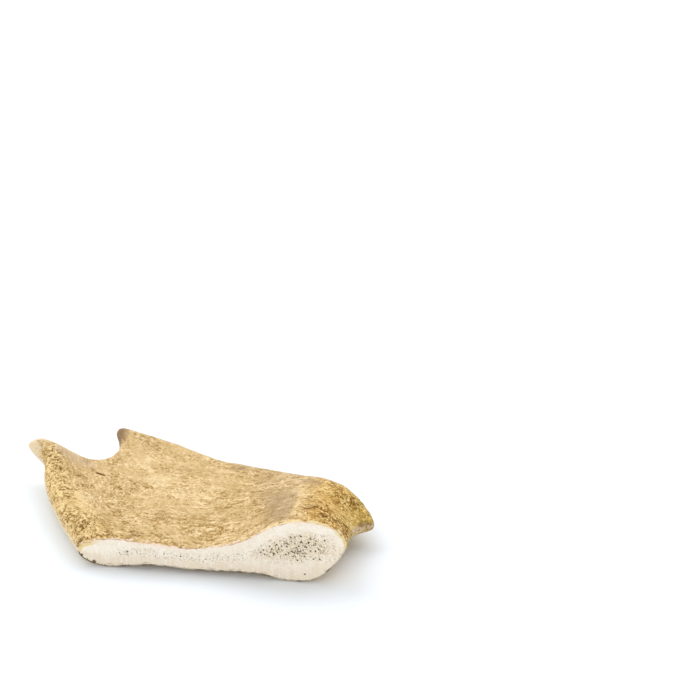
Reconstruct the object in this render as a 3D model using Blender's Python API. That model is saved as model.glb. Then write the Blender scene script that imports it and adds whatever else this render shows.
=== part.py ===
"""A sawn piece of fallow deer antler: the flat palm, two tines, the thick beam end and its spur.

One grown piece, so one solid. Sizes are millimetres in a drawing frame: x along the saw cut,
y back from it, z up from the floor that the piece lies on. The finished mesh is in metres, with
its origin on the floor under the middle of the bounding box.
"""

import math

import bmesh
import bpy
import numpy as np
from mathutils import Matrix, Vector, kdtree

MM = 0.001

# Ribs run across the palm from its front edge to its back edge, and follow each other from the
# long tine's tip, round the bay and the short tine, to the spur's tip. In front of the saw plane
# the palm runs on, and the saw takes that part off.
RIBS = (
    ((-80.0, 63.3), (-78.5, 64.8)),
    ((-76.9, 60.4), (-75.8, 67.8)),
    ((-72.0, 56.6), (-70.0, 67.8)),
    ((-70.4, 53.2), (-66.4, 66.8)),
    ((-68.3, 45.6), (-62.4, 65.8)),
    ((-63.7, 34.2), (-56.6, 64.8)),
    ((-55.2, 18.4), (-52.2, 66.5)),
    ((-46.5, 4.8), (-49.6, 69.5)),
    ((-34.8, -11.0), (-48.3, 73.2)),
    ((-27.0, -16.0), (-48.4, 76.8)),
    ((-19.0, -16.0), (-50.1, 80.0)),
    ((-12.0, -16.0), (-51.7, 82.9)),
    ((-5.0, -16.0), (-49.8, 85.0)),
    ((2.0, -16.0), (-45.2, 84.9)),
    ((9.0, -16.0), (-37.0, 84.2)),
    ((13.0, -16.0), (-31.4, 83.1)),
    ((17.0, -16.0), (-26.0, 81.6)),
    ((22.0, -16.0), (-13.0, 75.1)),
    ((26.0, -16.0), (-6.5, 72.0)),
    ((30.0, -16.0), (-0.5, 70.9)),
    ((36.0, -16.0), (12.6, 65.3)),
    ((41.0, -14.6), (23.8, 59.5)),
    ((46.7, -9.0), (33.9, 55.2)),
    ((48.6, -1.0), (41.5, 49.6)),
    ((48.4, 7.0), (46.7, 44.1)),
    ((47.5, 14.0), (50.5, 38.6)),
    ((47.4, 21.0), (52.5, 34.9)),
    ((49.5, 26.4), (53.5, 31.9)),
    ((52.4, 28.8), (53.7, 30.1)),
)

# Heights of the upper and the lower surface at places on the palm: x, y, top, underside.
SAW_CUT_HEIGHTS = (
    (-40.0, 0.0, 8.8, 0.9),
    (-34.0, 0.0, 10.2, -0.1),
    (-26.0, 0.0, 10.1, 0.8),
    (-16.0, 0.0, 9.6, 1.8),
    (-6.0, 0.0, 8.8, 1.3),
    (4.0, 0.0, 10.4, 1.4),
    (14.0, 0.0, 13.3, 1.7),
    (20.0, 0.0, 17.0, 1.6),
    (26.0, 0.0, 20.6, 0.3),
    (33.0, 0.0, 22.2, 0.0),
    (40.0, 0.0, 22.4, 1.2),
    (46.0, 0.0, 22.6, 5.6),
    (-32.0, -10.0, 10.3, 0.6),
    (-6.0, -10.0, 8.9, 1.6),
    (33.0, -10.0, 22.2, 0.6),
    (46.0, -10.0, 22.6, 6.0),
)
LONG_TINE_HEIGHTS = (
    (-79.0, 64.4, 15.5, 9.9),
    (-73.0, 61.4, 14.2, 7.0),
    (-66.0, 57.0, 11.6, 3.6),
)
LEFT_RIDGE_HEIGHTS = (
    (-61.0, 44.0, 10.2, 2.2),
    (-54.0, 32.0, 10.2, 1.4),
    (-45.0, 18.0, 10.4, 0.9),
    (-37.0, 8.0, 10.4, 0.2),
)
VALLEY_HEIGHTS = (
    (-60.0, 53.4, 9.0, 2.0),
    (-52.6, 39.0, 8.4, 1.4),
    (-43.0, 23.6, 8.3, 1.0),
    (-34.0, 12.0, 8.9, 0.8),
)
SHORT_TINE_HEIGHTS = (
    (-55.0, 61.0, 9.2, 1.8),
    (-46.0, 73.0, 10.4, 2.8),
    (-48.6, 81.6, 13.4, 6.4),
)
MIDDLE_HEIGHTS = (
    (-44.0, 50.0, 9.0, 1.2),
    (-34.0, 76.0, 9.8, 1.6),
    (-18.0, 70.0, 9.2, 0.4),
    (-4.0, 63.0, 9.4, -0.3),
    (-26.0, 46.0, 9.6, 1.1),
    (-22.0, 20.0, 9.0, 1.3),
    (-5.0, 32.0, 9.4, 1.2),
    (12.0, 54.0, 11.4, 1.2),
    (14.0, 28.0, 12.8, 1.4),
)
BEAM_HEIGHTS = (
    (26.0, 46.0, 14.6, 2.6),
    (30.0, 22.0, 19.2, 1.0),
    (37.0, 38.0, 16.2, 4.4),
    (44.0, 10.0, 20.4, 4.6),
    (43.0, 22.0, 15.6, 3.6),
    (42.0, 36.0, 14.2, 4.4),
)
SPUR_HEIGHTS = (
    (48.0, 26.0, 9.6, 4.7),
    (47.6, 36.0, 11.4, 5.0),
    (52.6, 30.0, 8.8, 4.8),
)
HEIGHTS = (
    SAW_CUT_HEIGHTS + LONG_TINE_HEIGHTS + LEFT_RIDGE_HEIGHTS + VALLEY_HEIGHTS
    + SHORT_TINE_HEIGHTS + MIDDLE_HEIGHTS + BEAM_HEIGHTS + SPUR_HEIGHTS
)

SLACK = 4.0  # how freely the smooth surfaces may miss the heights: 0 meets each one
EDGE_ROUNDING = 1.35  # how far the rounded edge reaches in, in half thicknesses
THINNEST = 2.0  # least thickness, at the tips

RIB_STEPS = 6  # steps along the edges between two ribs
RAIL_STEPS = 6  # points on one such step, to measure the distance from an edge
SKIN_STEPS = 36  # steps across the palm, on each side
MERGE = 0.02
FACET = 1.0  # size of the even facets
RELAX_TIMES = 6
FACETS_KEPT = 0.22  # share of the even facets that the curves need
CUT_SNAP = 0.05  # corners this near to the saw plane move onto it
SHARP_EDGE = math.radians(40)

ANTLER_COLOUR = (0.76, 0.58, 0.34, 1.0)
ANTLER_ROUGHNESS = 0.55


def clear_scene():
    for thing in list(bpy.data.objects):
        bpy.data.objects.remove(thing)


def smooth_rail(points):
    """A Catmull-Rom curve through the points of one edge."""
    points = np.array(points)
    guides = [2 * points[0] - points[1], *points, 2 * points[-1] - points[-2]]
    rail = []
    for a, b, c, d in zip(guides, guides[1:], guides[2:], guides[3:]):
        for t in np.arange(RIB_STEPS) / RIB_STEPS:
            bend = (2 * a - 5 * b + 4 * c - d) * t ** 2 + (3 * b - a - 3 * c + d) * t ** 3
            rail.append(b + ((c - a) * t + bend) / 2)
    rail.append(points[-1])
    return np.array(rail)


class SmoothHeights:
    """A thin-plate surface through heights that are given at places on the plan."""

    def __init__(self, places, heights):
        self.places = np.array(places)
        count = len(places)
        level = np.column_stack([np.ones(count), self.places])
        system = np.zeros((count + 3, count + 3))
        system[:count, :count] = self.bending(self.places) + SLACK * np.eye(count)
        system[:count, count:] = level
        system[count:, :count] = level.T
        self.weights = np.linalg.solve(system, np.append(heights, np.zeros(3)))

    def bending(self, plan):
        apart = np.linalg.norm(plan[:, None] - self.places, axis=2)
        return apart ** 2 * np.log(np.maximum(apart, 1e-6))

    def at(self, plan):
        level = np.column_stack([np.ones(len(plan)), plan])
        return self.bending(plan) @ self.weights[:-3] + level @ self.weights[-3:]


def distance_from(rail, plan):
    """How far each place on the plan is from an edge."""
    shares = np.arange(RAIL_STEPS) / RAIL_STEPS
    steps = [rail[:-1] + (rail[1:] - rail[:-1]) * share for share in shares]
    points = np.concatenate(steps + [rail[-1:]])
    tree = kdtree.KDTree(len(points))
    for index, (x, y) in enumerate(points):
        tree.insert((x, y, 0), index)
    tree.balance()
    return np.array([tree.find((x, y, 0))[2] for x, y in plan])


def rounded(distance, reach):
    """Share of the full thickness at this distance from an edge, on a quarter circle."""
    depth = np.clip(distance / reach, 0, 1)
    return np.sqrt(depth * (2 - depth))


def palm_skin():
    """The palm before it is sawn: a grid wrapped round the ribs and closed at both tips."""
    front = smooth_rail([rib[0] for rib in RIBS])
    back = smooth_rail([rib[1] for rib in RIBS])
    rib_gaps = len(front) - 1
    bm = bmesh.new()
    bmesh.ops.create_grid(bm, x_segments=rib_gaps, y_segments=2 * SKIN_STEPS, size=1)
    grid = np.array([vert.co[:] for vert in bm.verts])
    rib = np.rint((grid[:, 0] + 1) / 2 * rib_gaps).astype(int)
    turn = (grid[:, 1] + 1) * math.pi
    across = (1 - np.cos(turn)) / 2
    plan = front[rib] + (back[rib] - front[rib]) * across[:, None]

    places = [row[:2] for row in HEIGHTS]
    top = SmoothHeights(places, [row[2] for row in HEIGHTS]).at(plan)
    underside = SmoothHeights(places, [row[3] for row in HEIGHTS]).at(plan)
    half = np.maximum(top - underside, THINNEST) / 2
    reach = EDGE_ROUNDING * half
    share = rounded(distance_from(front, plan), reach) * rounded(distance_from(back, plan), reach)
    height = (top + underside) / 2 + np.sign(np.sin(turn)) * half * share
    for vert, (x, y), z in zip(bm.verts, plan, height):
        vert.co = (x, y, z)

    bmesh.ops.remove_doubles(bm, verts=bm.verts, dist=MERGE)
    bmesh.ops.dissolve_degenerate(bm, edges=bm.edges, dist=MERGE)
    bmesh.ops.holes_fill(bm, edges=[edge for edge in bm.edges if edge.is_boundary])
    bmesh.ops.recalc_face_normals(bm, faces=bm.faces)
    skin = bpy.data.meshes.new("palm_skin")
    bm.to_mesh(skin)
    bm.free()
    return skin


def evenly_faceted(skin):
    """The same closed skin in even facets, then only as many of them as its curves need."""
    helper = bpy.data.objects.new("helper", skin)
    bpy.context.scene.collection.objects.link(helper)
    remesh = helper.modifiers.new("Remesh", "REMESH")
    remesh.mode = "VOXEL"
    remesh.voxel_size = FACET
    relax = helper.modifiers.new("Smooth", "SMOOTH")
    relax.factor = 0.5
    relax.iterations = RELAX_TIMES
    thin = helper.modifiers.new("Decimate", "DECIMATE")
    thin.ratio = FACETS_KEPT
    graph = bpy.context.evaluated_depsgraph_get()
    faceted = bpy.data.meshes.new_from_object(helper.evaluated_get(graph))
    bpy.data.objects.remove(helper)
    return faceted


def sawn(mesh):
    """Saws off what is in front of y = 0, and closes the cut with one flat face."""
    bm = bmesh.new()
    bm.from_mesh(mesh)
    cut = bmesh.ops.bisect_plane(
        bm, geom=bm.verts[:] + bm.edges[:] + bm.faces[:], dist=CUT_SNAP, use_snap_center=True,
        plane_co=(0, 0, 0), plane_no=(0, -1, 0), clear_outer=True,
    )
    rim = [item for item in cut["geom_cut"] if isinstance(item, bmesh.types.BMEdge)]
    bmesh.ops.contextual_create(bm, geom=rim)
    bm.to_mesh(mesh)
    bm.free()
    return mesh


def under_middle(mesh):
    """The place of the origin: as low as the piece, under the middle of its bounding box."""
    corners = np.array([vert.co[:] for vert in mesh.vertices])
    low, high = corners.min(0), corners.max(0)
    return Vector(((low[0] + high[0]) / 2, (low[1] + high[1]) / 2, low[2]))


def antler_material():
    material = bpy.data.materials.new("antler")
    material.use_nodes = True
    shader = material.node_tree.nodes["Principled BSDF"]
    shader.inputs["Base Color"].default_value = ANTLER_COLOUR
    shader.inputs["Roughness"].default_value = ANTLER_ROUGHNESS
    shader.inputs["Metallic"].default_value = 0
    return material


def antler_piece():
    mesh = sawn(evenly_faceted(palm_skin()))
    mesh.transform(Matrix.Scale(MM, 4) @ Matrix.Translation(-under_middle(mesh)))
    mesh.shade_smooth()
    mesh.set_sharp_from_angle(angle=SHARP_EDGE)
    mesh.materials.append(antler_material())
    antler = bpy.data.objects.new("antler", mesh)
    bpy.context.scene.collection.objects.link(antler)
    return antler


def main():
    clear_scene()
    antler_piece()


main()
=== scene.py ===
"""Looks of a sawn piece of fallow deer antler.

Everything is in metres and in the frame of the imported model: x along the saw cut, y from the
sawn face back across the palm, z up from the floor. Places on the piece are given in
millimetres from the model's origin, and scaled once, by MM.
"""

import math
import random

import bmesh
import bpy
import numpy as np
from bpy.props import FloatProperty, FloatVectorProperty, IntProperty, PointerProperty
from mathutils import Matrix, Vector, kdtree, noise


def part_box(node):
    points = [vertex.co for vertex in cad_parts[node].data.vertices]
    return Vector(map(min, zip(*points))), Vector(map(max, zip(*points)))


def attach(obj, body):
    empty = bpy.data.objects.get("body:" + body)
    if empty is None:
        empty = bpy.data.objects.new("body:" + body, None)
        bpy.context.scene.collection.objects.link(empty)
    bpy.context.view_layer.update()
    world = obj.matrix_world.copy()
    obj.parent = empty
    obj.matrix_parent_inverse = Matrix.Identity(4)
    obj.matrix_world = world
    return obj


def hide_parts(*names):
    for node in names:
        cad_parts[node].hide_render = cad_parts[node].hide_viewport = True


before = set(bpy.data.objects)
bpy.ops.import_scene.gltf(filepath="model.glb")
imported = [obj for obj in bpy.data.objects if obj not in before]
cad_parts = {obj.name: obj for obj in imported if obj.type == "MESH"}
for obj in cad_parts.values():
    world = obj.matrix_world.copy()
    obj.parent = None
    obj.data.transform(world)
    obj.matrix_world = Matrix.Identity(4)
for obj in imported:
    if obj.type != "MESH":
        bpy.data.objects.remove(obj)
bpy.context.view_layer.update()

bl_info = {
    "name": "Fallow Antler Piece",
    "version": (1, 0, 0),
    "blender": (4, 5, 0),
    "location": "3D View > Sidebar > Antler",
    "description": "A sawn piece of fallow deer antler with its crust, tines and porous cut",
    "category": "Object",
}

MM = 0.001
SAW_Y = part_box("antler")[0].y
# The materials' places in the mesh.
CRUST = 0
CUT = 1
# A Mix node's inputs for the share and the two colours, and its output for the mixed colour.
MIX_COLOUR_SOCKETS = (0, 6, 7)
MIX_COLOUR_RESULT = 2

# Lengths in millimetres. The model's cut is pushed out this far, and is then sawn where it was.
PAST_THE_CUT = 3.0
# Corners this near to each other are one corner, and this near to a plane they lie on it.
SAME_PLACE = 0.001
ON_A_PLANE = 0.01
# Corners this near to the cut are moved onto it when it is sawn.
SAW_SNAP = 0.05
# Facets of the cut are parted finer this near to a pore, and a pore sinks corners this near to it.
PORE_FACETS = 0.45
PORE_RANGE = 0.5
# How far the sloping wall of a pore reaches past its radius.
PORE_WALL = 0.10
SENSOR_WIDTH = 36

# A relaxing step draws the fine skin together, and then swells it back.
RELAX_FACTORS = (0.5, -0.52)
# Places on each edge round the cut that distances from the crust are measured from.
RIM_STEPS = 6
# Where the large lights stand, seen from the piece.
LIGHTS_FROM = {
    "left_key": (-0.80, 0.80, 0.90), "right_key": (0.60, 0.85, 0.95), "fill": (-0.25, -1.0, 0.20),
}

# The run of the fibres on the plan: x, and how steeply they run in y there.
FIBRE_SLOPES = (
    (-67, -1.75), (-44, -1.5), (-30, -0.85), (-14, -0.3), (8, -0.1),
    (23, 0.0), (33, 0.05), (41, -0.2), (50, -0.8), (60, -1.25),
)
# The valley that runs between the pearled left ridge and the palm: x, y.
VALLEY = (
    (-58, 28), (-52.2, 20.1), (-47.3, 10.7), (-42.5, 1.5), (-37.3, -8.2),
    (-32.2, -16.1), (-28.0, -22.4), (-23.7, -27.9), (-18.5, -34.6), (-13, -43),
)
# The tips of the two tines and of the spur: x, y, z.
LONG_TINE_TIP = (-66.6, 21.6, 13.0)
SHORT_TINE_TIP = (-38.4, 40.2, 10.5)
SPUR_TIP = (66.0, -12.6, 6.6)
# The smudge on the pale end of the long tine: x, y and radius.
TIP_SMUDGE = ((-61.4, 20.6, 2.6),)
# The two ends of the short scratch, x and y, and the height that only the top lies above.
SCRATCH = ((-38.0, 10.7), (-34.3, 8.6))
SCRATCH_ABOVE = 6
# The smooth grey patch: x of its sharp right border and of its soft left border where y is 0,
# and how much each moves in x for 1 mm in y.
GREY_RIGHT = (38.6, -0.09)
GREY_LEFT = (22.0, -0.30)
# Where the grey patch reaches along the back edge: x, y and radius.
GREY_EDGE = ((12.8, 21.8, 4.2), (34.6, 8.2, 4.2), (39.5, 4.6, 4.4), (43.5, 1.0, 3.0))

# Dark stains on the top: x, y and radius.
STAINS = (
    (-53.7, 17.6, 1.4), (-53.7, 13.2, 2.0), (-56.5, 15.5, 1.4), (-50.7, 7.7, 2.4), (-43.9, 7.2, 2.4),
    (-43.5, -7.1, 2.2), (-46.8, -14.6, 1.6), (-39.7, 0.2, 2.4), (-35.1, -27.9, 2.0), (-38.0, -29.1, 1.6),
    (-29.5, -31.8, 4.2), (-29.4, -40.8, 2.4), (-21.3, -38.7, 3.0), (-12.1, -37.0, 3.4),
    (46.4, -30.2, 2.0), (52.1, -33.8, 2.2), (48.2, -26.6, 2.0), (53.9, -23.4, 2.6), (51.2, -10.5, 1.8),
    (53.6, -12.2, 2.4), (58.5, -6.5, 2.4), (56.9, -20.4, 1.8), (59.3, -29.2, 1.6), (61.0, -36.4, 1.5),
    (44.0, -36.6, 1.6), (56.8, -33.3, 2.4),
)
# Lighter places on the top: x, y and radius.
LIGHT_PLACES = (
    (-40.4, -7.8, 2.4), (-37.7, -12.4, 3.0), (-34.9, -17.1, 3.2), (-32.1, -22.1, 3.0),
    (-29.6, -27.2, 2.6), (-26.6, -33.0, 2.0), (-3.1, 0.2, 5.0), (3.2, -3.3, 5.5),
    (-21.4, 22.8, 6.0), (-14.0, 6.8, 6.0), (39.5, -10.2, 3.6), (45.1, -35.8, 3.2), (41.5, -23.8, 3.0),
    (51.9, -5.6, 3.2), (49.0, -3.0, 2.4),
)
# Orange places on the beam near the cut: x, y and radius.
ORANGE_PLACES = (
    (49.8, -30.6, 2.8), (56.2, -38.0, 3.2), (60.3, -39.9, 2.2), (54.0, -30.0, 2.4),
)
# Where light strands run down the flank of the beam: x, y and radius.
FLANK_PLACES = (
    (51.5, -12.5, 3.6), (54.5, -15.5, 3.6), (57.5, -16.5, 3.6), (55.5, -21.5, 3.6), (59.5, -21.0, 3.4),
)
# Broad duller places on the top: x, y and radius.
DULL_PLACES = (
    (-6.0, -35.8, 12.0), (12.0, -27.8, 12.0), (-24.0, -25.8, 9.0), (18.0, -11.8, 9.0),
    (22.0, 14.2, 8.0), (30.0, -23.8, 9.0),
)
# The worn edge of the bay between the tines: x, y and radius.
BAY_EDGE = (
    (-54.0, 20.4, 2.4), (-51.0, 19.2, 2.6), (-47.6, 17.8, 2.6), (-44.2, 16.8, 2.4), (-41.0, 15.6, 2.0),
)
# Calmer places on the top, with less texture: x, y and radius.
CALM_PLACES = ((-40, 14, 9), (-28, 28, 12), (-10, 24, 14), (8, 18, 10))

# The spongy core in the saw cut: its middle in x and z, its half sizes, and its slant.
CORE = (44.8, 12.4)
CORE_HALF = (12.6, 4.9)
CORE_SLANT = 0.20
# The line of fine pores that runs from the core along the thin part of the cut: x, z.
FINE_PORES = ((-16, 5.9), (-12, 6.3), (2, 6.3), (12, 6.0), (18, 6.5), (24, 7.4), (34, 9.9))
# The seed of the small pores, the radius of the larger ones, and their places: x, z.
PORE_SEED = 7
LARGE_PORE_RADIUS = 0.17
LARGE_PORES = (
    (49.1, 15.1), (38.9, 11.7), (49.7, 11.9), (33.8, 10.9), (47.7, 9.8), (46.4, 11.6), (34.2, 9.4),
    (45.4, 11.5), (43.7, 11.0), (41.3, 10.0), (42.3, 10.5), (48.4, 13.2), (32.8, 10.0), (46.4, 17.1),
    (41.7, 13.0), (37.2, 10.0), (50.7, 9.0), (51.4, 12.0), (46.4, 14.9), (54.5, 16.3), (38.3, 13.3),
    (52.5, 12.8), (45.7, 13.4), (45.3, 8.1), (43.0, 16.5), (50.8, 14.2), (49.8, 16.3), (52.8, 9.1),
    (36.6, 11.5), (35.9, 12.5), (47.7, 3.1), (-12.9, 6.4), (5.4, 6.1),
)
# The dark spots at the lower left end of the rim: x, z and radius.
RIM_SPOTS = (
    (-28.9, 3.9, 0.6), (-27.1, 2.5, 0.4), (-24.7, 1.6, 0.9), (-23.2, 0.6, 0.5), (-20.8, 0.4, 0.5),
)


def linear(red, green, blue):
    """A colour given as 0 to 255 screen values, as Blender's scene-linear values."""
    shares = (value / 255 for value in (red, green, blue))
    return tuple(
        share / 12.92 if share <= 0.04045 else ((share + 0.055) / 1.055) ** 2.4 for share in shares
    )


def size_property(name, description, millimetres):
    return FloatProperty(
        name=name, description=description, default=millimetres * MM, unit="LENGTH", precision=5
    )


def colour_property(name, description, *screen):
    return FloatVectorProperty(
        name=name, description=description, default=linear(*screen), size=3, subtype="COLOR",
        min=0, max=1,
    )


class AntlerShape(bpy.types.PropertyGroup):
    """Sizes of the fine skin, its relief and the pores of the cut."""

    facet: size_property("Facet", "Size of the fine facets of the crust", 0.53)
    cut_facet: size_property("Cut facet", "Size of the facets of the saw cut", 0.42)
    relax_times: IntProperty(
        name="Relaxing", description="How often the fine skin is smoothed", default=12, min=0
    )
    lump_height: size_property("Lumps", "Height of the low lumps of the crust", 0.22)
    furrow_depth: size_property("Furrows", "Depth of the long shallow furrows", 0.22)
    fibre_height: size_property("Fibres", "Height of the fine fibres of the crust", 0.07)
    pearl_height: size_property("Pearls", "Height of the pearls along the left ridge", 0.26)
    scratch_depth: size_property("Scratch", "Depth of the short scratch by the bay", 0.35)
    pore_depth: size_property("Pores", "Depth of the pores in the sawn core", 0.45)
    pore_count: IntProperty(
        name="Pore count", description="How many pores the spongy core shows", default=500, min=0
    )


class AntlerColours(bpy.types.PropertyGroup):
    """Colours of the crust and of the saw cut."""

    crust: colour_property("Crust", "Main colour of the dry crust", 212, 181, 128)
    crust_light: colour_property("Light crust", "Worn tops of the palm's crust", 240, 216, 171)
    crust_dark: colour_property("Dark crust", "Hollows of the palm's crust", 151, 116, 56)
    crust_speck: colour_property("Specks", "Dark specks and pits of the crust", 104, 66, 12)
    golden: colour_property("Golden", "Colour of the beam", 199, 153, 75)
    golden_light: colour_property("Light golden", "Worn tops of the beam's crust", 245, 216, 149)
    golden_dark: colour_property("Dark golden", "Hollows of the beam's crust", 110, 70, 6)
    orange: colour_property("Orange", "Crust of the beam near the cut", 202, 148, 70)
    olive: colour_property("Olive", "Smooth crust towards the spur", 192, 160, 80)
    grey: colour_property("Grey", "Smooth greyish patch of the palm", 170, 143, 106)
    pale: colour_property("Pale", "Smooth tine tip and sides of the edges", 228, 211, 179)
    # On the long tine's lower side this colour is painted shade.
    under: colour_property("Under", "Lower side of the spur and the long tine", 216, 196, 175)
    # Also laid as painted shade on sides that face back and in the spur's fold.
    dusky: colour_property("Dusky", "Grey-brown end of the short tine", 133, 104, 77)
    chip: colour_property("Chips", "Chipped crust along the cut", 240, 216, 196)
    cream: colour_property("Cream", "Worn edge of the beam along the cut", 239, 220, 170)
    bone: colour_property("Bone", "Dense bone of the saw cut", 250, 244, 234)
    bone_warm: colour_property("Warm bone", "Duller places of the saw cut", 232, 218, 196)
    core: colour_property("Core", "Spongy core of the saw cut", 224, 209, 181)
    sponge: colour_property("Sponge", "Fine holes of the spongy core", 150, 128, 88)
    # Painted shade in the pores, laid darkest where they sink deepest.
    pore_shade: colour_property("Pore", "Inside of the pores", 76, 52, 20)
    rim_tan: colour_property("Tan rim", "Brown dashes along the upper rim", 156, 122, 84)
    rim_gold: colour_property("Golden rim", "Crust cut through at both ends of the cut", 226, 200, 138)
    # Part crust and part painted contact shadow along the cut's lower edge.
    rim_crust_and_shadow: colour_property("Dark rim", "Crust along the lower rim of the cut", 96, 78, 52)


class AntlerStudio(bpy.types.PropertyGroup):
    """The camera, the floor and the light."""

    aim: FloatVectorProperty(
        name="Aim", description="Place at the foot of the cut that the distance is measured from",
        default=(12.966 * MM, -42.485 * MM, 0.276 * MM), size=3, subtype="TRANSLATION",
    )
    distance: FloatProperty(
        name="Distance", description="How far the camera stands from there", default=0.8,
        unit="LENGTH",
    )
    side: FloatProperty(
        name="Side", description="Angle by which the camera stands to the right of the cut's middle",
        default=math.radians(13.56), subtype="ANGLE",
    )
    rise: FloatProperty(
        name="Rise", description="Angle above the floor at which the camera stands",
        default=math.radians(28), subtype="ANGLE",
    )
    turn: FloatProperty(
        name="Turn", description="How far the camera is turned from +Y",
        default=math.radians(9.554), subtype="ANGLE",
    )
    dip: FloatProperty(
        name="Dip", description="How far the camera looks down",
        default=math.radians(22.658), subtype="ANGLE",
    )
    view_width: FloatProperty(
        name="View width", description="Width of the view at the piece", default=236.6 * MM,
        unit="LENGTH",
    )
    floor_size: FloatProperty(
        name="Floor", description="Side of the square floor", default=8.0, unit="LENGTH"
    )
    floor_colour: FloatVectorProperty(
        name="Floor colour", description="Colour of the plain floor", default=(0.90, 0.945, 0.995),
        size=3, subtype="COLOR", min=0, max=1,
    )
    sky: FloatProperty(
        name="Soft light", description="Strength of the even light all round", default=0.52
    )
    left_key: FloatProperty(
        name="Left key light", description="Strength of the large light behind on the left",
        default=1.65,
    )
    right_key: FloatProperty(
        name="Right key light", description="Strength of the large light behind on the right",
        default=1.25,
    )
    fill: FloatProperty(
        name="Fill light", description="Strength of the low light from the front", default=1.40
    )
    light_width: FloatProperty(
        name="Light width", description="How wide each large light looks from the piece",
        default=math.radians(60), subtype="ANGLE",
    )


def smoothstep(low, high, values):
    """A soft step from 0 to 1, as the values go from low to high."""
    share = np.clip((values - low) / (high - low), 0, 1)
    return share * share * (3 - 2 * share)


def bell(offsets, width):
    """1 where the offsets are 0, and falling away softly on both sides."""
    return np.exp(-((offsets / width) ** 2))


def solid_past_the_cut(node):
    """A copy of a model node whose saw cut is pushed outwards, so that it can be sawn again."""
    bm = bmesh.new()
    bm.from_mesh(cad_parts[node].data)
    bmesh.ops.remove_doubles(bm, verts=bm.verts, dist=SAME_PLACE * MM)
    cut = [
        face for face in bm.faces
        if all(abs(vert.co.y - SAW_Y) < ON_A_PLANE * MM for vert in face.verts)
    ]
    made = bmesh.ops.extrude_face_region(bm, geom=cut)["geom"]
    pushed = [item for item in made if isinstance(item, bmesh.types.BMVert)]
    bmesh.ops.translate(bm, verts=pushed, vec=(0, -PAST_THE_CUT * MM, 0))
    mesh = bpy.data.meshes.new(node + "_uncut")
    bm.to_mesh(mesh)
    bm.free()
    return mesh


def fine_skin(mesh, facet, relax_times):
    """The same solid as a bmesh with a smooth skin in fine even facets."""
    helper = bpy.data.objects.new("helper", mesh)
    bpy.context.scene.collection.objects.link(helper)
    smooth = helper.modifiers.new("Subdivision", "SUBSURF")
    smooth.levels = 2
    smooth.render_levels = 2
    remesh = helper.modifiers.new("Remesh", "REMESH")
    remesh.mode = "VOXEL"
    remesh.voxel_size = facet
    graph = bpy.context.evaluated_depsgraph_get()
    skin = bpy.data.meshes.new_from_object(helper.evaluated_get(graph))
    bpy.data.objects.remove(helper)
    bm = bmesh.new()
    bm.from_mesh(skin)
    for _ in range(relax_times):
        for factor in RELAX_FACTORS:
            bmesh.ops.smooth_vert(
                bm, verts=bm.verts, factor=factor, use_axis_x=True, use_axis_y=True, use_axis_z=True
            )
    return bm


def corners(bm):
    """Places and normals of all corners, in millimetres."""
    bm.verts.index_update()
    bm.normal_update()
    points = np.array([vert.co[:] for vert in bm.verts]) / MM
    return points, np.array([vert.normal[:] for vert in bm.verts])


def part_in_two(bm, border):
    """Takes the faces in front of a border along y out of the mesh, and returns them as their own."""
    end = bm.copy()
    for half, is_end in ((bm, False), (end, True)):
        gone = [face for face in half.faces if (face.calc_center_median().y > border) == is_end]
        bmesh.ops.delete(half, geom=gone, context="FACES")
    return end


def close_cut(end, facet):
    """Closes the saw cut with one face, and parts that face in even facets."""
    rim = [
        edge for edge in end.edges
        if edge.is_boundary and all(abs(vert.co.y - SAW_Y) < SAME_PLACE * MM for vert in edge.verts)
    ]
    face = bmesh.ops.contextual_create(end, geom=rim)["faces"][0]
    if face.normal.y > 0:
        face.normal_flip()
    face.material_index = CUT
    geometry = [face, *face.edges, *face.verts]
    low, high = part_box("antler")
    for axis in (Vector((1, 0, 0)), Vector((0, 0, 1))):
        for place in np.arange(low.dot(axis) + facet / 2, high.dot(axis), facet):
            geometry = bmesh.ops.bisect_plane(
                end, geom=geometry, dist=ON_A_PLANE * MM, plane_co=axis * place, plane_no=axis
            )["geom"]


def saw(bm, shape):
    """Saws the piece off flat, and gives it the cut's even facets and its pores."""
    bmesh.ops.bisect_plane(
        bm, geom=bm.verts[:] + bm.edges[:] + bm.faces[:], dist=SAW_SNAP * MM, use_snap_center=True,
        clear_outer=True, plane_co=(0, SAW_Y, 0), plane_no=(0, -1, 0),
    )
    end = part_in_two(bm, SAW_Y + MM)
    close_cut(end, shape.cut_facet)
    bore_pores(end, shape)
    sawn_end = bpy.data.meshes.new("sawn_end")
    end.to_mesh(sawn_end)
    end.free()
    bm.from_mesh(sawn_end)
    joint = [vert for vert in bm.verts if vert.is_boundary]
    bmesh.ops.remove_doubles(bm, verts=joint, dist=SAME_PLACE * MM)


def fibre_places(points):
    """Places along and across the fibres, in millimetres: u along, v across, and the height."""
    step = 0.5
    xs = np.arange(-80, 81, step)
    slopes = np.interp(xs, *zip(*FIBRE_SLOPES))
    run = np.concatenate([[0], np.cumsum(np.hypot(1, slopes[1:]) * step)])
    rise = np.concatenate([[0], np.cumsum(slopes[1:] * step)])
    x, y, z = points.T
    return np.column_stack([np.interp(x, xs, run), y - np.interp(x, xs, rise), z])


def fractal(points, scale, octaves=3, offset=0.0):
    """Fractal noise, about -1 to 1, of places that are scaled first."""
    scaled = points * np.array(scale) + offset
    return np.array([noise.fractal(Vector(p), 0.7, 2.0, octaves) for p in scaled])


def pearls(points, scale):
    """Rounded bumps, near 0 between them and 1 at their middles."""
    heights = [1 - noise.voronoi(Vector(p))[0][0] for p in points * np.array(scale)]
    return np.clip(np.array(heights), 0, 1)


def near(points, places):
    """How near each point is to the nearest of some round places, 0 to 1, by its first two measures."""
    share = np.zeros(len(points))
    for first, second, radius in places:
        away = np.hypot(points[:, 0] - first, points[:, 1] - second)
        share = np.maximum(share, bell(away, radius))
    return share


def away_from(points, place):
    """How far each point is from a place, in millimetres."""
    return np.linalg.norm(points - np.array(place), axis=1)


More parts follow.
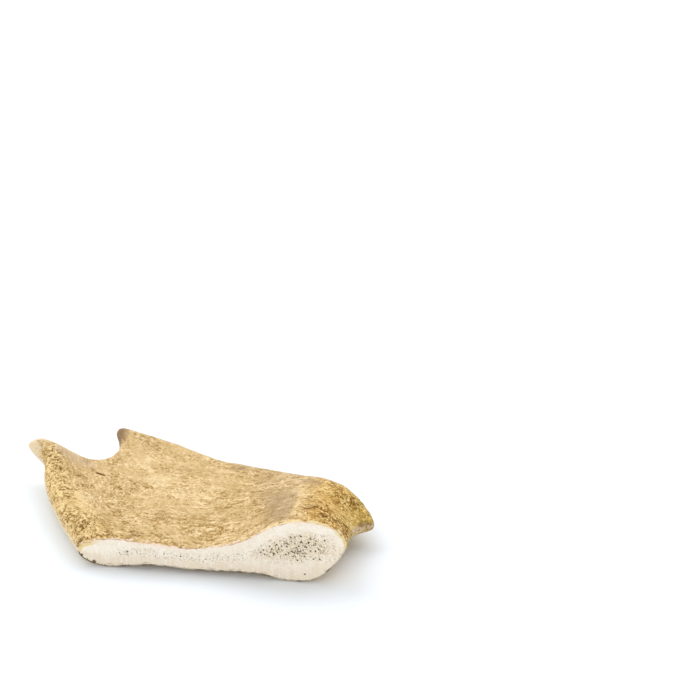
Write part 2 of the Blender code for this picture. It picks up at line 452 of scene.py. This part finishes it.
def beyond_the_valley(points):
    """How far each point is to the left of the valley, towards the pearled ridge."""
    valley_y, valley_x = zip(*sorted((y, x) for x, y in VALLEY))
    return np.interp(points[:, 1], valley_y, valley_x) - points[:, 0]


def grey_patch(points, top):
    """The smooth grey patch: sharp on its right, soft on its left, and along the back edge."""
    x, y, _ = points.T
    ripple = fractal(points, (0.3, 0.3, 0.3), 2, 5.2)
    across = x - GREY_RIGHT[1] * y
    blur = 0.8 + 7.0 * smoothstep(-8, 6, y)
    grey = 1 - smoothstep(GREY_RIGHT[0] - blur, GREY_RIGHT[0] + blur, across + 0.8 * ripple)
    grey *= smoothstep(-4, 6, x - GREY_LEFT[1] * y - GREY_LEFT[0]) * top * smoothstep(-41, -36, y)
    grey *= 1 - 0.5 * smoothstep(-14, 4, y)
    return np.maximum(grey, near(points, GREY_EDGE) * top)


def pale_places(points, up):
    """The smooth pale end of the long tine, and the pale sides of the left edge."""
    to_tip = away_from(points, LONG_TINE_TIP)
    side = smoothstep(0.35, -0.10, up)
    pale = smoothstep(11.0, 5.0, to_tip) * (1 - 0.6 * near(points, TIP_SMUDGE))
    pale = np.maximum(pale, side * smoothstep(26, 12, to_tip))
    return np.maximum(pale, 0.8 * side * smoothstep(7, 12, beyond_the_valley(points)))


def spur_zones(points, normals):
    """The smooth end of the spur, its pale side, and painted shade in the fold above that side."""
    up = normals[:, 2]
    to_tip = away_from(points, SPUR_TIP)
    side = smoothstep(15, 9, to_tip) * smoothstep(-1.0, 0.1, up)
    # Painted shade in the crease where the spur's side turns down.
    fold = bell(up - 0.64, 0.14) * smoothstep(8.5, 5.0, to_tip)
    return {
        "smooth_spur": smoothstep(14, 8, to_tip),
        "spur_side": side * smoothstep(0.66, 0.50, up),
        "fold": fold * smoothstep(0.0, -0.3, normals[:, 1]),
    }


def zones(points, normals):
    """Where each look of the crust lies: a share from 0 to 1 for every corner.

    Places are steps in millimetres, and up is 1 where a corner faces straight up.
    """
    x, y, _ = points.T
    up = normals[:, 2]
    top = smoothstep(-0.2, 0.3, up)
    beam = smoothstep(38, 49, x - GREY_RIGHT[1] * y) * (1 - 0.4 * smoothstep(-6, 10, y))
    worn = smoothstep(0.72, 0.35, up) * smoothstep(-0.4, 0.1, up) * (1 - beam)
    # Faces that look down near the long tine: painted shade on its lower side.
    under = smoothstep(-0.05, -0.45, up) * smoothstep(20, 10, away_from(points, LONG_TINE_TIP))
    to_short_tip = away_from(points, SHORT_TINE_TIP)
    return {
        "ridge": smoothstep(-1.5, 5.0, beyond_the_valley(points)), "beam": beam,
        "grey": grey_patch(points, top), "pale": pale_places(points, up), "worn": worn, "under": under,
        "dusky": 1 - smoothstep(2.5, 8.5, to_short_tip + 4.5 * normals[:, 0]),
        "olive": smoothstep(52, 63, x) * smoothstep(-38, -22, y),
        # Sides that face back: painted shade along the back edges.
        "back_edge": smoothstep(0.35, 0.75, normals[:, 1]), "bay_edge": near(points, BAY_EDGE),
        "orange": near(points, ORANGE_PLACES) * top, "stain": near(points, STAINS) * top,
        "light": near(points, LIGHT_PLACES) * top, "dull": near(points, DULL_PLACES) * top,
        "calm": near(points, CALM_PLACES) * top, "flank": near(points, FLANK_PLACES) * top,
        **spur_zones(points, normals),
    }


def crust_relief(points, normals, shape):
    """Height of the crust's relief at each corner, in metres."""
    places = fibre_places(points)
    shares = zones(points, normals)
    lumps = fractal(points, (0.11, 0.11, 0.11), 3)
    furrows = -np.abs(fractal(places, (0.022, 0.16, 0.16), 2, 7.3))
    fibres = fractal(places, (0.25, 0.80, 0.80), 3, 3.1)
    bumps = pearls(points, (0.62, 0.55, 0.62)) - 0.45
    height = shape.lump_height * lumps
    height += shape.furrow_depth * (furrows + 0.2) * (1 - shares["ridge"])
    height += shape.fibre_height * fibres * (1 + 0.6 * shares["beam"])
    height += shape.pearl_height * bumps * (shares["ridge"] + 0.25 * shares["beam"])
    height *= 1 - 0.75 * np.maximum(shares["pale"], 0.6 * shares["grey"])
    height *= 0.15 + 0.85 * smoothstep(-0.3, 0.6, normals[:, 2])
    return height - shape.scratch_depth * np.maximum(scratch(points), 0)


def scratch(points):
    """The short scratch on the palm near the bay: 1 in it, and below 0 along its borders."""
    start, end = (np.array(place) for place in SCRATCH)
    along = end - start
    length = np.linalg.norm(along)
    offset = points[:, :2] - start
    run = offset @ along / length
    across = offset @ np.array((-along[1], along[0])) / length
    inside = smoothstep(-0.6, 0.4, run) * smoothstep(length + 0.6, length - 0.4, run)
    profile = 1.6 * bell(across, 0.55) - 0.6 * bell(across, 1.3)
    return profile * inside * (points[:, 2] > SCRATCH_ABOVE)


def pore_places(shape):
    """The pores of the saw cut as x, z and radius, denser and wider towards the core's middle."""
    draw = random.Random(PORE_SEED)
    xs, zs = zip(*FINE_PORES)
    pores = [(x, z, LARGE_PORE_RADIUS) for x, z in LARGE_PORES]
    for _ in range(shape.pore_count):
        angle = draw.uniform(0, 2 * math.pi)
        out = 1.15 * draw.random() ** 0.56
        x = CORE_HALF[0] * out * math.cos(angle)
        z = CORE_HALF[1] * out * math.sin(angle) + CORE_SLANT * x
        radius = (0.01 + 0.14 * draw.random() ** 4) * (1.4 - 0.8 * out)
        pores.append((CORE[0] + x, CORE[1] + z, radius))
    for _ in range(shape.pore_count // 4):
        x = draw.uniform(xs[0], xs[-1])
        z = float(np.interp(x, xs, zs)) + draw.gauss(0, 0.9)
        pores.append((x, z, 0.09 * draw.random() ** 2))
    return pores


def bore_pores(bm, shape):
    """Sinks the pores into the saw cut, with finer facets round them."""
    pores = pore_places(shape)
    tree = kdtree.KDTree(len(pores))
    for index, (x, z, _) in enumerate(pores):
        tree.insert((x, 0, z), index)
    tree.balance()

    def places(vert):
        return vert.co.x / MM, 0, vert.co.z / MM

    parted = set()
    for face in bm.faces:
        if face.material_index == CUT:
            if any(tree.find(places(vert))[2] < PORE_FACETS for vert in face.verts):
                parted.update(face.edges)
    # The edges are taken in the mesh's own order, so that each run makes the same facets.
    inner = [
        edge for edge in bm.edges
        if edge in parted and all(face.material_index == CUT for face in edge.link_faces)
    ]
    bmesh.ops.subdivide_edges(bm, edges=inner, cuts=2, use_grid_fill=True)
    depth = bm.verts.layers.float.new("pits")
    for vert in bm.verts:
        if all(face.material_index == CUT for face in vert.link_faces):
            for _, index, distance in tree.find_range(places(vert), PORE_RANGE):
                radius = pores[index][2]
                deepest = min(1.0, 3 * radius + 0.45)
                share = deepest * (1.5 - distance / (radius + PORE_WALL))
                vert[depth] = max(vert[depth], min(1.0, share))
            vert.co.y += shape.pore_depth * vert[depth]


def rim_distances(bm):
    """For corners of the saw cut: distance from the crust, and how far the crust faces up there."""
    rim = [
        edge for edge in bm.edges
        if len({face.material_index for face in edge.link_faces}) == 2
    ]
    tree = kdtree.KDTree(len(rim) * RIM_STEPS)
    facing = []
    for index, edge in enumerate(rim):
        start, end = (vert.co for vert in edge.verts)
        for step in range(RIM_STEPS):
            tree.insert(start.lerp(end, step / RIM_STEPS), index)
        facing.append(next(face.normal.z for face in edge.link_faces if face.material_index == CRUST))
    tree.balance()
    inward = np.zeros(len(bm.verts))
    rim_up = np.zeros(len(bm.verts))
    for vert in bm.verts:
        if vert.co.y < SAW_Y + 1.0 * MM:
            _, index, distance = tree.find((vert.co.x, SAW_Y, vert.co.z))
            inward[vert.index] = distance / MM
            rim_up[vert.index] = facing[index]
    return inward, rim_up


def marrow_line(points):
    """How near a place of the saw cut is to the line of fine pores, 0 to 1."""
    xs, zs = zip(*FINE_PORES)
    off = np.abs(points[:, 2] - np.interp(points[:, 0], xs, zs))
    return smoothstep(2.4, 0.8, off) * smoothstep(xs[0] - 4, xs[0] + 2, points[:, 0])


def store(mesh, name, values):
    """Writes one value, or one vector, for each corner of the mesh."""
    values = np.asarray(values, np.float32)
    if values.ndim == 1:
        mesh.attributes.new(name, "FLOAT", "POINT").data.foreach_set("value", values)
    else:
        mesh.attributes.new(name, "FLOAT_VECTOR", "POINT").data.foreach_set("vector", values.ravel())


def antler_mesh(shape):
    """The fine mesh of the whole piece, with its relief and the attributes its looks read."""
    bm = fine_skin(solid_past_the_cut("antler"), shape.facet, shape.relax_times)
    points, normals = corners(bm)
    relief = crust_relief(points, normals, shape)
    layer = bm.verts.layers.float.new("relief")
    for vert, height in zip(bm.verts, relief):
        vert.co += vert.normal * height
        vert[layer] = height / MM
    saw(bm, shape)
    points, normals = corners(bm)
    inward, rim_up = rim_distances(bm)
    for face in bm.faces:
        face.smooth = True
    mesh = bpy.data.meshes.new("fallow_antler")
    bm.to_mesh(mesh)
    bm.free()
    mesh.set_sharp_from_angle(angle=math.radians(50))
    shares = {
        "fibre": fibre_places(points), "behind_cut": points[:, 1] - SAW_Y / MM,
        "marrow_line": marrow_line(points), "rim_spot": near(points[:, (0, 2)], RIM_SPOTS),
        "inward": inward, "rim_up": rim_up, "scratch": scratch(points), **zones(points, normals),
    }
    for name, values in shares.items():
        store(mesh, name, values)
    return mesh


class Nodes:
    """The nodes of a material or of an effect, with a short call for each kind."""

    def __init__(self, tree):
        self.tree = tree

    def feed(self, socket, value):
        if isinstance(value, bpy.types.NodeSocket):
            self.tree.links.new(value, socket)
        elif isinstance(value, (int, float)):
            socket.default_value = value
        elif socket.type == "RGBA":
            socket.default_value = (*value, 1.0)
        else:
            socket.default_value = value

    def node(self, kind, inputs=(), **settings):
        made = self.tree.nodes.new("ShaderNode" + kind)
        for setting, value in settings.items():
            setattr(made, setting, value)
        for key, value in dict(inputs).items():
            self.feed(made.inputs[key], value)
        return made

    def attribute(self, name, output="Fac"):
        return self.node("Attribute", attribute_name=name).outputs[output]

    def scaled(self, vector, scale):
        return self.node("VectorMath", {0: vector, 1: scale}, operation="MULTIPLY").outputs[0]

    def millimetres(self):
        return self.scaled(self.node("TexCoord").outputs["Object"], (1 / MM,) * 3)

    def noise(self, vector, scale, detail=3.0, roughness=0.6, curl=0.0):
        inputs = {"Vector": self.scaled(vector, scale), "Scale": 1.0, "Detail": detail}
        inputs.update({"Roughness": roughness, "Distortion": curl})
        return self.node("TexNoise", inputs).outputs["Fac"]

    def lines(self, vector, scale, width, curl):
        """Thin winding lines, 1 at their middles: where a noise passes its mean."""
        off = self.math("SUBTRACT", self.noise(vector, scale, 3.0, 0.65, curl), 0.5)
        return self.span(self.math("ABSOLUTE", off), width, 0.0)

    def math(self, operation, first, second=0.0):
        return self.node("Math", {0: first, 1: second}, operation=operation).outputs[0]

    def chain(self, operation, values):
        result = values[0]
        for value in values[1:]:
            result = self.math(operation, result, value)
        return result

    def times(self, *values):
        return self.chain("MULTIPLY", values)

    def sum(self, *values):
        return self.chain("ADD", values)

    def most(self, *values):
        return self.chain("MAXIMUM", values)

    def less(self, value):
        """What is left of 1 when the value is taken away."""
        return self.math("SUBTRACT", 1.0, value)

    def span(self, value, low, high, to_low=0.0, to_high=1.0):
        """A soft step from one result to another, as the value goes from low to high."""
        inputs = {"Value": value, "From Min": low, "From Max": high, "To Min": to_low, "To Max": to_high}
        return self.node("MapRange", inputs, interpolation_type="SMOOTHSTEP").outputs["Result"]

    def mix(self, share, first, second):
        made = self.node("Mix", data_type="RGBA")
        for socket, value in zip(MIX_COLOUR_SOCKETS, (share, first, second)):
            self.feed(made.inputs[socket], value)
        return made.outputs[MIX_COLOUR_RESULT]

    def lay(self, under, over, *shares):
        """One colour laid over another, as strongly as the product of the shares."""
        return self.mix(self.times(*shares), under, over)

    def toned(self, tone, dark, middle, light):
        """Middle where the tone is 0, dark where it is -1 and light where it is 1."""
        return self.lay(self.lay(middle, dark, tone, -1.0), light, tone)


class Material(Nodes):
    """A material whose nodes end in its own Principled shader."""

    def __init__(self, name, specular=0.5, effect=None):
        self.material = bpy.data.materials.new(name)
        self.material.use_nodes = True
        super().__init__(self.material.node_tree)
        self.effect = effect
        self.shader_inputs = self.tree.nodes["Principled BSDF"].inputs
        self.feed(self.shader_inputs["Specular IOR Level"], specular)

    def mottle(self, vector, scale, curl):
        inputs = {"Place": self.scaled(vector, scale), "Curl": curl}
        return self.node("Group", inputs, node_tree=self.effect).outputs["Tone"]

    def finish(self, colour, roughness):
        self.feed(self.shader_inputs["Base Color"], colour)
        self.feed(self.shader_inputs["Roughness"], roughness)
        return self.material

    def relief(self, height, distance, strength):
        """Relief too fine for the mesh, which only bends the light."""
        inputs = {"Height": height, "Distance": distance, "Strength": strength}
        self.feed(self.shader_inputs["Normal"], self.node("Bump", inputs).outputs["Normal"])


def mottle_effect():
    """A curly noise as a tone, about -1 in its hollows and 1 on its tops, for crust and cut."""
    tree = bpy.data.node_groups.new("curly_mottle", "ShaderNodeTree")
    tree.interface.new_socket("Place", in_out="INPUT", socket_type="NodeSocketVector")
    tree.interface.new_socket("Curl", in_out="INPUT", socket_type="NodeSocketFloat")
    tree.interface.new_socket("Tone", in_out="OUTPUT", socket_type="NodeSocketFloat")
    nodes = Nodes(tree)
    given = tree.nodes.new("NodeGroupInput").outputs
    height = nodes.noise(given["Place"], (1, 1, 1), 3.0, 0.65, given["Curl"])
    tone = nodes.times(nodes.math("SUBTRACT", height, 0.5), 6.0)
    nodes.feed(tree.nodes.new("NodeGroupOutput").inputs["Tone"], tone)
    return tree


class Crust(Material):
    """The dry crust of palm, tines, beam and spur."""

    def __init__(self, colours, effect):
        super().__init__("antler_crust", 0.05, effect)
        self.colours = colours
        self.place = self.millimetres()
        self.fibre = self.attribute("fibre", "Vector")
        self.beam, self.ridge, self.grey, self.flank, self.stain = (
            self.attribute(name) for name in ("beam", "ridge", "grey", "flank", "stain")
        )
        self.clouds = self.mottle(self.fibre, (0.05, 0.08, 0.08), 0.3)
        self.wisps = self.mottle(self.fibre, (0.26, 0.44, 0.44), 0.8)
        self.curls = self.mottle(self.place, (0.58, 0.55, 0.58), 1.6)
        self.grain = self.mottle(self.place, (1.2, 1.0, 1.2), 0.6)
        self.rough = self.most(self.ridge, self.times(self.beam, 0.9))
        self.pale = self.span(self.sum(self.attribute("pale"), self.times(self.wisps, 0.1)), 0.25, 0.75)
        self.lively = self.less(self.most(
            self.times(self.pale, 0.85), self.times(self.attribute("calm"), 0.35),
            self.times(self.attribute("smooth_spur"), 0.6), self.times(self.grey, 0.4),
            self.times(self.flank, 0.5),
        ))
        self.light = self.lay(
            colours.crust_light, colours.golden_light, self.most(self.beam, self.times(self.ridge, 0.6))
        )

    def on_rough(self, smooth, rough):
        """One strength on the smooth palm, and another on the rough ridge and beam."""
        return self.span(self.rough, 0.0, 1.0, smooth, rough)

    def texture(self):
        """Light and dark in wisps, curls and fine grain, with thin dark hairs along the fibres."""
        hairs = self.lines(self.fibre, (0.34, 0.75, 0.75), 0.035, 0.8)
        hair_places = self.noise(self.fibre, (0.2, 0.35, 0.35), 2.0)
        return self.sum(
            self.times(self.wisps, self.on_rough(0.50, 0.45)),
            self.times(self.curls, self.on_rough(0.28, 1.05)),
            self.times(self.grain, self.on_rough(0.68, 1.20)),
            self.times(hairs, self.span(hair_places, 0.42, 0.60), -1.0),
            self.times(self.ridge, 0.32), 0.02,
        )

    def tone(self, texture):
        """How light or dark the crust is: the texture, the marked places and broad clouds."""
        patchy = self.span(self.noise(self.fibre, (0.09, 0.15, 0.15), 2.0), 0.38, 0.62, 0.60, 1.30)
        places = self.sum(
            self.times(self.attribute("light"), 0.45), self.times(self.flank, 0.15),
            self.times(self.attribute("dull"), -0.16), self.times(self.stain, -0.50),
            self.times(self.attribute("relief"), self.rough, 0.7),
        )
        return self.sum(
            self.times(texture, patchy, self.lively), self.times(places, self.lively),
            self.times(self.clouds, 0.16),
        )

    def toned_crust(self, tone):
        """The colours of the palm, and on the beam its golden, orange and olive ones."""
        colours = self.colours
        golden = self.most(self.beam, self.times(self.ridge, 0.35))
        middle = self.lay(colours.crust, colours.golden, golden)
        middle = self.lay(middle, colours.orange, self.attribute("orange"), 0.7)
        middle = self.lay(middle, colours.olive, self.attribute("olive"))
        middle = self.lay(middle, colours.grey, self.grey, 0.9)
        middle = self.lay(middle, colours.pale, self.attribute("worn"), 0.45)
        golden = self.most(self.times(self.beam, 0.85), self.times(self.ridge, 0.45))
        dark = self.lay(colours.crust_dark, colours.golden_dark, golden)
        return self.toned(tone, dark, middle, self.light)

    def strands(self):
        """Thin light strands, mostly on the flank of the beam."""
        strands = self.lines(self.fibre, (0.14, 0.50, 0.50), 0.05, 0.3)
        places = self.sum(self.noise(self.fibre, (0.12, 0.2, 0.2), 2.0), self.times(self.flank, 0.24))
        return self.times(strands, self.span(places, 0.50, 0.62), self.lively, 0.95)

    def specks(self):
        """Dark specks, mostly where the crust is stained."""
        specks = self.mottle(self.place, (0.85, 0.75, 0.85), 0.9)
        places = self.sum(
            self.times(self.stain, 1.2), self.times(self.rough, 0.05), self.times(self.clouds, -0.2)
        )
        return self.times(self.span(self.sum(specks, places), 1.05, 1.7), self.lively)

    def with_smooth_places(self, colour):
        """Lays on the spur's pale side under painted shade in its fold, painted shade on sides that face
        back and under the long tine, the smooth pale ends and the dusky tine.
        """
        colours = self.colours
        # Painted shade in the fold above the spur's pale side.
        colour = self.lay(colour, colours.dusky, self.attribute("fold"), 0.8)
        streaks = self.sum(self.times(self.wisps, 0.6), self.times(self.grain, 0.6))
        streaks = self.span(streaks, -0.6, 0.5, 0.10, 1.0)
        colour = self.lay(colour, colours.under, self.attribute("spur_side"), streaks)
        # Painted shade on the sides that face back.
        colour = self.lay(colour, colours.dusky, self.attribute("back_edge"), 0.6)
        colour = self.lay(colour, colours.pale, self.pale, self.span(self.grain, -1.2, 0.4, 0.55, 0.92))
        # Painted shade on the lower side of the long tine.
        colour = self.lay(colour, colours.under, self.attribute("under"), 0.7)
        colour = self.lay(colour, colours.under, self.attribute("bay_edge"), 0.42)
        return self.lay(colour, colours.dusky, self.attribute("dusky"), 0.85)

    def with_scratch(self, colour):
        scratch = self.attribute("scratch")
        colour = self.lay(colour, self.colours.crust_light, self.span(scratch, 0.0, -0.5))
        return self.lay(colour, self.colours.crust_speck, self.span(scratch, 0.05, 0.55, 0.0, 0.95))

    def with_cut_edge(self, colour):
        """Lays on chipped bone and brown dashes along the palm's cut, and the beam's cream edge."""
        colours = self.colours
        behind_cut = self.attribute("behind_cut")
        chips = self.mottle(self.place, (0.40, 0.40, 0.40), 0.6)
        creamy = self.span(self.node("SeparateXYZ", {0: self.place}).outputs["X"], 28.0, 40.0)
        chips = self.sum(behind_cut, self.times(chips, -2.2), self.times(creamy, -0.8))
        bone = self.lay(colours.chip, colours.cream, creamy)
        colour = self.lay(colour, bone, self.span(chips, 0.9, 0.3), 0.85)
        dashes = self.span(self.mottle(self.place, (0.33, 0.6, 0.5), 0.3), -0.05, 0.35)
        dashes = self.times(self.span(behind_cut, 0.9, 0.4), dashes)
        return self.lay(colour, colours.rim_tan, dashes, self.span(creamy, 0.0, 1.0, 0.7, 0.2))


def crust_material(colours, effect):
    crust = Crust(colours, effect)
    texture = crust.texture()
    strands = crust.strands()
    specks = crust.specks()
    colour = crust.toned_crust(crust.tone(texture))
    colour = crust.lay(colour, crust.light, strands)
    colour = crust.lay(colour, colours.crust_speck, specks, 0.85)
    colour = crust.with_smooth_places(colour)
    colour = crust.with_scratch(colour)
    colour = crust.with_cut_edge(colour)
    height = crust.sum(
        crust.times(texture, crust.lively), crust.times(strands, 0.2), crust.times(specks, -0.4)
    )
    crust.relief(height, 0.10 * MM, 0.6)
    return crust.finish(colour, crust.span(crust.wisps, -1.0, 1.0, 0.72, 0.58))


class SawCut(Material):
    """The saw cut: dense bone round a spongy core, inside a rim of crust."""

    def __init__(self, colours, effect):
        super().__init__("sawn_antler", 0.3, effect)
        self.colours = colours
        self.place = self.millimetres()
        axes = self.node("SeparateXYZ", {0: self.place}).outputs
        self.x = axes["X"]
        self.z = axes["Z"]
        self.inward = self.attribute("inward")
        self.under = self.span(self.attribute("rim_up"), 0.1, -0.3)
        self.above = self.less(self.under)
        self.low = self.times(self.under, self.span(self.inward, 7.0, 0.5))
        self.clouds = self.mottle(self.place, (0.16, 0.16, 0.22), 0.3)
        self.grain = self.mottle(self.place, (1.3, 1.3, 1.3), 0.5)
        self.saw_lines = self.mottle(self.place, (1.2, 0.5, 0.06), 0.0)
        self.edge = self.sum(self.inward, self.times(self.grain, 0.08))
        self.marks = self.mottle(self.place, (0.30, 0.30, 0.45), 0.4)
        self.right_end = self.span(self.x, 56.5, 60.0)
        self.ends = self.most(self.span(self.x, -21.0, -27.0), self.right_end)

    def bone(self):
        """Dense bone, duller and with the saw's marks towards the lower rim."""
        tone = self.sum(
            0.35, self.times(self.clouds, 0.18), self.times(self.grain, 0.28),
            self.times(self.low, -0.45),
            self.times(self.saw_lines, self.span(self.low, 0.0, 1.0, 0.05, 0.32)),
        )
        return self.toned(tone, self.colours.core, self.colours.bone_warm, self.colours.bone)

    def with_core(self, colour):
        """Lays on the spongy core, an oval that leans with the beam, and thin along the palm."""
        colours = self.colours
        along = self.math("SUBTRACT", self.x, CORE[0])
        up = self.sum(self.z, self.times(along, -CORE_SLANT), -CORE[1])
        along = self.math("DIVIDE", along, CORE_HALF[0])
        up = self.math("DIVIDE", up, CORE_HALF[1])
        out = self.math("SQRT", self.sum(self.times(along, along), self.times(up, up)))
        core = self.span(self.sum(out, self.times(self.clouds, 0.15)), 1.35, 0.6)
        colour = self.lay(colour, colours.core, core, 0.85)
        fine = self.mottle(self.place, (1.7, 1.7, 1.7), 0.4)
        spongy = self.most(core, self.times(self.attribute("marrow_line"), 0.6))
        colour = self.lay(colour, colours.sponge, spongy, self.span(fine, -0.25, -0.8), 0.95)
        colour = self.lay(colour, colours.bone, spongy, self.span(fine, 0.2, 1.0), 0.85)
        # Painted shade in the pores, darkest where they sink deepest.
        return self.lay(colour, colours.pore_shade, self.span(self.attribute("pits"), 0.2, 0.7))

    def with_upper_rim(self, colour):
        """Lays on crust that is golden at both ends, and chipped with brown dashes between them."""
        colours = self.colours
        gold_width = self.sum(self.times(self.marks, 0.25), self.times(self.right_end, -0.55), 1.35)
        gold = self.span(self.math("SUBTRACT", self.edge, gold_width), 0.0, -0.4)
        colour = self.lay(colour, colours.rim_gold, gold, self.ends, self.above, 0.95)
        chipped = self.span(self.sum(self.edge, self.times(self.marks, -0.5)), 0.7, 0.3)
        colour = self.lay(colour, colours.chip, chipped, self.above, 0.6, self.less(self.ends))
        dashes = self.times(self.span(self.edge, 0.40, 0.10), self.span(self.marks, -0.1, -0.7))
        return self.lay(colour, colours.rim_tan, dashes, self.above, 0.7)

    def with_lower_rim(self, colour):
        """Lays on brown flecks, a faint inner line, a broken dark line of crust and painted contact
        shadow, and the dark spots.
        """
        colours = self.colours
        flecks = self.span(self.mottle(self.place, (0.7, 0.7, 0.7), 0.5), 1.0, 1.5)
        colour = self.lay(colour, colours.rim_tan, flecks, self.span(self.low, 0.0, 0.6, 0.10, 0.8))
        inner_line = self.math("ABSOLUTE", self.math("SUBTRACT", self.edge, 0.95))
        inner_line = self.times(self.span(inner_line, 0.28, 0.08), self.under)
        colour = self.lay(colour, colours.rim_tan, inner_line, self.span(self.marks, 0.1, 0.7), 0.55)
        unbroken = self.sum(self.marks, self.ends, self.times(self.right_end, -1.6))
        unbroken = self.span(unbroken, -0.5, 0.7, 0.35, 1.0)
        # The broken dark line: part crust, part painted contact shadow under the cut.
        crust_and_shadow_line = self.times(self.span(self.edge, 0.60, 0.30), self.under)
        colour = self.lay(colour, colours.rim_crust_and_shadow, crust_and_shadow_line, unbroken)
        return self.lay(colour, colours.rim_crust_and_shadow, self.span(self.attribute("rim_spot"), 0.3, 0.8))


def sawn_material(colours, effect):
    cut = SawCut(colours, effect)
    colour = cut.with_core(cut.bone())
    colour = cut.with_upper_rim(colour)
    colour = cut.with_lower_rim(colour)
    height = cut.sum(cut.times(cut.saw_lines, 0.5), cut.times(cut.grain, 0.4))
    cut.relief(height, 0.05 * MM, 0.4)
    return cut.finish(colour, cut.span(cut.grain, -1.0, 1.0, 0.68, 0.78))


def floor_material(colour):
    return Material("plain_floor").finish(tuple(colour), 0.9)


class ANTLER_OT_piece(bpy.types.Operator):
    """Make the antler piece with its fine skin, relief and materials"""

    bl_idname = "antler.piece"
    bl_label = "Antler piece"

    def execute(self, context):
        mesh = antler_mesh(context.scene.antler_shape)
        colours = context.scene.antler_colours
        mottle = mottle_effect()
        mesh.materials.append(crust_material(colours, mottle))
        mesh.materials.append(sawn_material(colours, mottle))
        piece = bpy.data.objects.new("fallow_antler", mesh)
        context.scene.collection.objects.link(piece)
        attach(piece, "root")
        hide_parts("antler")
        return {"FINISHED"}


class ANTLER_OT_studio(bpy.types.Operator):
    """Make the plain floor, the soft light and the camera"""

    bl_idname = "antler.studio"
    bl_label = "Floor, light and camera"

    def execute(self, context):
        scene = context.scene
        studio = scene.antler_studio
        bm = bmesh.new()
        bmesh.ops.create_grid(bm, x_segments=1, y_segments=1, size=studio.floor_size / 2)
        mesh = bpy.data.meshes.new("floor")
        bm.to_mesh(mesh)
        bm.free()
        mesh.materials.append(floor_material(studio.floor_colour))
        floor = bpy.data.objects.new("floor", mesh)
        scene.collection.objects.link(floor)

        world = bpy.data.worlds.new("soft_light")
        world.use_nodes = True
        world.node_tree.nodes["Background"].inputs["Color"].default_value = (1, 1, 1, 1)
        world.node_tree.nodes["Background"].inputs["Strength"].default_value = studio.sky
        scene.world = world

        for name, direction in LIGHTS_FROM.items():
            sun = bpy.data.lights.new(name + "_light", "SUN")
            sun.energy = getattr(studio, name)
            sun.angle = studio.light_width
            light = bpy.data.objects.new(name + "_light", sun)
            light.rotation_euler = Vector(direction).to_track_quat("Z", "Y").to_euler()
            scene.collection.objects.link(light)

        camera = bpy.data.objects.new("camera", bpy.data.cameras.new("camera"))
        level = math.cos(studio.rise)
        back = Vector(
            (math.sin(studio.side) * level, -math.cos(studio.side) * level, math.sin(studio.rise))
        )
        camera.location = Vector(studio.aim) + studio.distance * back
        camera.rotation_euler = (math.pi / 2 - studio.dip, 0, studio.turn)
        camera.data.sensor_width = SENSOR_WIDTH
        camera.data.lens = SENSOR_WIDTH * studio.distance / studio.view_width
        scene.collection.objects.link(camera)
        scene.camera = camera
        scene.view_settings.view_transform = "Standard"
        return {"FINISHED"}


class ANTLER_PT_panel(bpy.types.Panel):
    bl_label = "Antler"
    bl_space_type = "VIEW_3D"
    bl_region_type = "UI"
    bl_category = "Antler"

    def draw(self, context):
        scene = context.scene
        steps = (
            ("antler.piece", (scene.antler_shape, scene.antler_colours)),
            ("antler.studio", (scene.antler_studio,)),
        )
        for operator, groups in steps:
            for group in groups:
                for name in group.__annotations__:
                    self.layout.prop(group, name)
            self.layout.operator(operator)


CLASSES = (AntlerShape, AntlerColours, AntlerStudio, ANTLER_OT_piece, ANTLER_OT_studio, ANTLER_PT_panel)


def register():
    for cls in CLASSES:
        bpy.utils.register_class(cls)
    bpy.types.Scene.antler_shape = PointerProperty(type=AntlerShape)
    bpy.types.Scene.antler_colours = PointerProperty(type=AntlerColours)
    bpy.types.Scene.antler_studio = PointerProperty(type=AntlerStudio)


def unregister():
    del bpy.types.Scene.antler_studio
    del bpy.types.Scene.antler_colours
    del bpy.types.Scene.antler_shape
    for cls in reversed(CLASSES):
        bpy.utils.unregister_class(cls)


def main():
    register()
    bpy.ops.antler.studio()
    bpy.ops.antler.piece()


if __name__ == "__main__":
    main()
